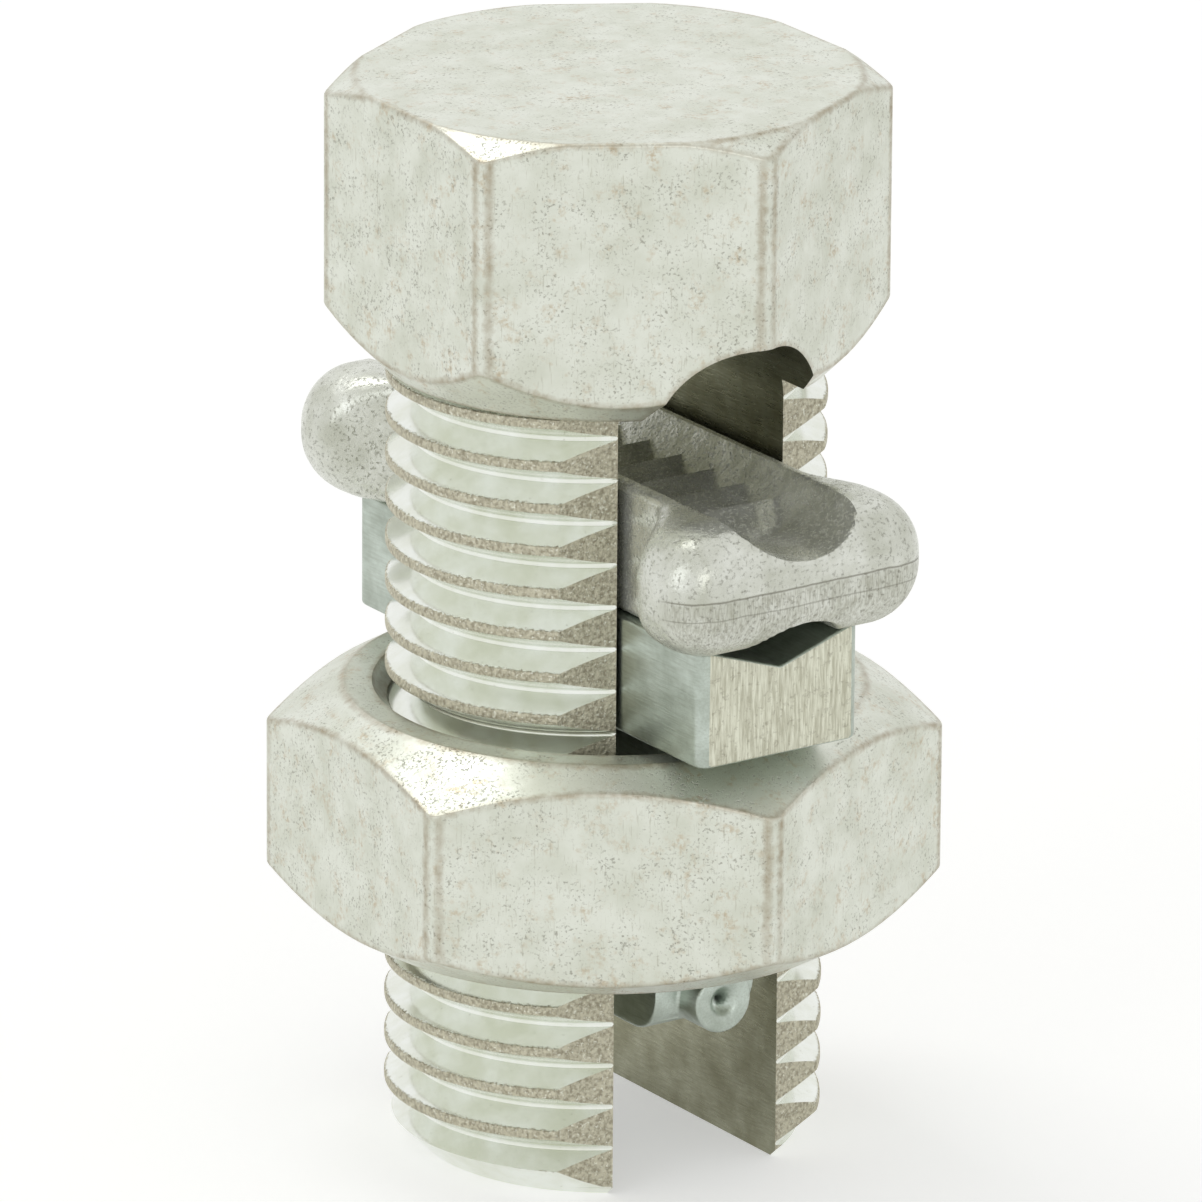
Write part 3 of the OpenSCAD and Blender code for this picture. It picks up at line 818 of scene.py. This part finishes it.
# %% Bar
def drawn(tree):
    lines = noise_mask(tree, 0.07, 0.40, 0.66, stretch=(1, 14, 1), seed=17.0)
    cloud = noise_mask(tree, 1.2, 0.35, 0.65, detail=5.0, seed=18.0)
    colour = over(tree, "#C3CDC4", "#A9B2A7", cloud)
    colour = over(tree, colour, "#8E9285", maths(tree, "MULTIPLY", lines, 0.30))
    return colour, maths(tree, "MULTIPLY_ADD", cloud, 0.12, 0.30), lines, 0.004


def sawn(tree):
    lines = noise_mask(tree, 0.075, 0.36, 0.64, stretch=(1, 1, 11),
                       turned=(0, math.radians(-16), 0), detail=4.0, seed=19.0)
    pits = noise_mask(tree, 0.16, 0.56, 0.70, detail=4.0, seed=20.0)
    colour = over(tree, "#DCDDCB", "#A9A793", maths(tree, "MULTIPLY", lines, 0.75))
    colour = over(tree, colour, "#8C8876", maths(tree, "MULTIPLY", pits, 0.55))
    return colour, maths(tree, "MULTIPLY_ADD", lines, 0.12, 0.36), lines, 0.012


def rubbed(tree):
    spots = noise_mask(tree, 0.15, 0.38, 0.60, detail=4.0, seed=21.0)
    colour = over(tree, "#BDB7A2", "#94765C", spots)
    return colour, maths(tree, "MULTIPLY_ADD", spots, 0.1, 0.35), spots, 0.006


DRAWN = metal("drawn tin plated bar", drawn)
SAWN = metal("sawn end", sawn)
RUBBED = metal("edge rubbed to the copper", rubbed)
print(DRAWN.name, SAWN.name, RUBBED.name)

# %% [markdown]
# ### Cast spacer
# Casting leaves a dull, uneven skin, and tumbling rubs the high places bright. The mould's
# two halves met along the middle of each end, where the trimmed flash shows as thin dark lines
# with fine upright scratches below them.

# %% Spacer
PARTING_Z, SECOND_Z = SPACER_Z + 2.30, SPACER_Z + 1.70


def cast(tree):
    place = place_of(tree)
    cloud = noise_mask(tree, 1.4, 0.34, 0.66, detail=5.0, seed=22.0)
    colour = over(tree, "#E6E8DF", "#C6C8BA", cloud)
    pits = noise_mask(tree, 0.13, 0.55, 0.68, detail=5.0, seed=23.0)
    colour = over(tree, colour, "#88867A", maths(tree, "MULTIPLY", pits, 0.6))
    end = span(tree, maths(tree, "ABSOLUTE", place["Y"]), 10.2 * MM, 10.8 * MM)
    wobble = maths(tree, "MULTIPLY", noise_mask(tree, 1.8, 0.2, 0.8, seed=24.0), 0.10 * MM)
    level = maths(tree, "ADD", place["Z"], wobble)
    seam = None
    for z, width, depth in ((PARTING_Z, 0.05, 0.8), (SECOND_Z, 0.04, 0.5)):
        off = maths(tree, "ABSOLUTE", maths(tree, "SUBTRACT", level, z * MM))
        line = maths(tree, "MULTIPLY", span(tree, off, 0.0, width * MM, depth, 0.0), end)
        seam = line if seam is None else maths(tree, "MAXIMUM", seam, line)
    below = maths(tree, "MULTIPLY",
                  span(tree, level, PARTING_Z * MM, (SPACER_Z + 2.2) * MM), end)
    scratch = maths(tree, "MULTIPLY", below, noise_mask(tree, 0.06, 0.42, 0.66, stretch=(1, 1, 6),
                                                        detail=4.0, seed=25.0))
    colour = over(tree, colour, "#8E8B78", maths(tree, "MULTIPLY", scratch, 0.55))
    colour = over(tree, colour, "#6F6B5B", seam)
    rough = maths(tree, "MULTIPLY_ADD", below, 0.14, maths(tree, "MULTIPLY_ADD", pits, 0.2, 0.27))
    height = maths(tree, "SUBTRACT", maths(tree, "MULTIPLY", cloud, 1.0),
                   maths(tree, "MAXIMUM", seam, maths(tree, "MULTIPLY", pits, 0.4)))
    return colour, rough, height, 0.035


CAST = metal("tumbled cast spacer", cast, 0.6)
print(CAST.name)

# %% [markdown]
# ### Which face gets which finish
# The bolt's faces are sorted by where they lie: on the slot's walls, on the head, on the
# flats beside the slot, or on the thread. On the bar, the ends point along the wires.

# %% Sorting the faces
NEAR, NEAR_ARC, NEAR_LEVEL = 2e-3, 2e-2, 1e-3  # millimetres
ON_THREAD, BESIDE_SLOT, IN_SLOT, ON_HEAD = range(4)
ON_BAR_END, BAR_END_Y = 2, 9.9


def on_slot(points):
    """Whether a face with these points lies on the slot's walls or on its crown."""
    walls = all(abs(abs(p.x) - SLOT_R) < NEAR and p.z < CROWN_Z + NEAR_LEVEL for p in points)
    crown = all(abs(math.hypot(p.x, p.z - CROWN_Z) - SLOT_R) < NEAR_ARC
                and p.z > CROWN_Z - NEAR_LEVEL for p in points)
    return walls or crown


def on_relief(points):
    """Whether a face with these points lies on one of the four flats beside the slot."""
    c, s = math.cos(math.radians(RELIEF_ANGLE)), math.sin(math.radians(RELIEF_ANGLE))
    return all(abs((abs(p.x) - SLOT_R) * s + (abs(p.y) - wall_y) * c) < NEAR for p in points)


bolt.data.materials.clear()
for finish in (ROLLED, UNROLLED, MILLED_WITH_PAINTED_SHADE, TUMBLED):
    bolt.data.materials.append(finish)
for face in bolt.data.polygons:
    points = [bolt.data.vertices[k].co / MM for k in face.vertices]
    if on_slot(points):
        face.material_index = IN_SLOT
    elif min(p.z for p in points) > SHANK_LEN - 0.02:
        face.material_index = ON_HEAD
    elif on_relief(points) or max(p.z for p in points) < 0.01:
        face.material_index = BESIDE_SLOT
    else:
        face.material_index = ON_THREAD
bar.data.materials.clear()
for finish in (DRAWN, RUBBED, SAWN):
    bar.data.materials.append(finish)
for face in bar.data.polygons:
    if abs(face.normal.y) > 0.95 and abs(face.center.y) > BAR_END_Y * MM:
        face.material_index = ON_BAR_END
for piece, finish in ((nut, TUMBLED), (spacer, CAST)):
    piece.data.materials.clear()
    piece.data.materials.append(finish)
print("faces of the bolt:", [sum(f.material_index == k for f in bolt.data.polygons)
                             for k in range(4)])

# %% [markdown]
# ## Handing over
# Each finished piece takes the place of the solid that it dresses, rides on that solid's body
# and has its material slot. The edges of the facets are shaded smooth where they meet gently.

# %% Hand over to the frame
for piece, node, body in ((bolt, "split_bolt", "bolt"), (nut, "hex_nut", "nut"),
                          (bar, "pressure_bar", "bar"), (spacer, "spacer", "spacer")):
    piece.data.shade_smooth()
    piece.data.set_sharp_from_angle(angle=math.radians(28))
    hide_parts(node)
    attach(piece, body)
    piece.data.calc_loop_triangles()
    print(piece.name, len(piece.data.loop_triangles), "triangles")
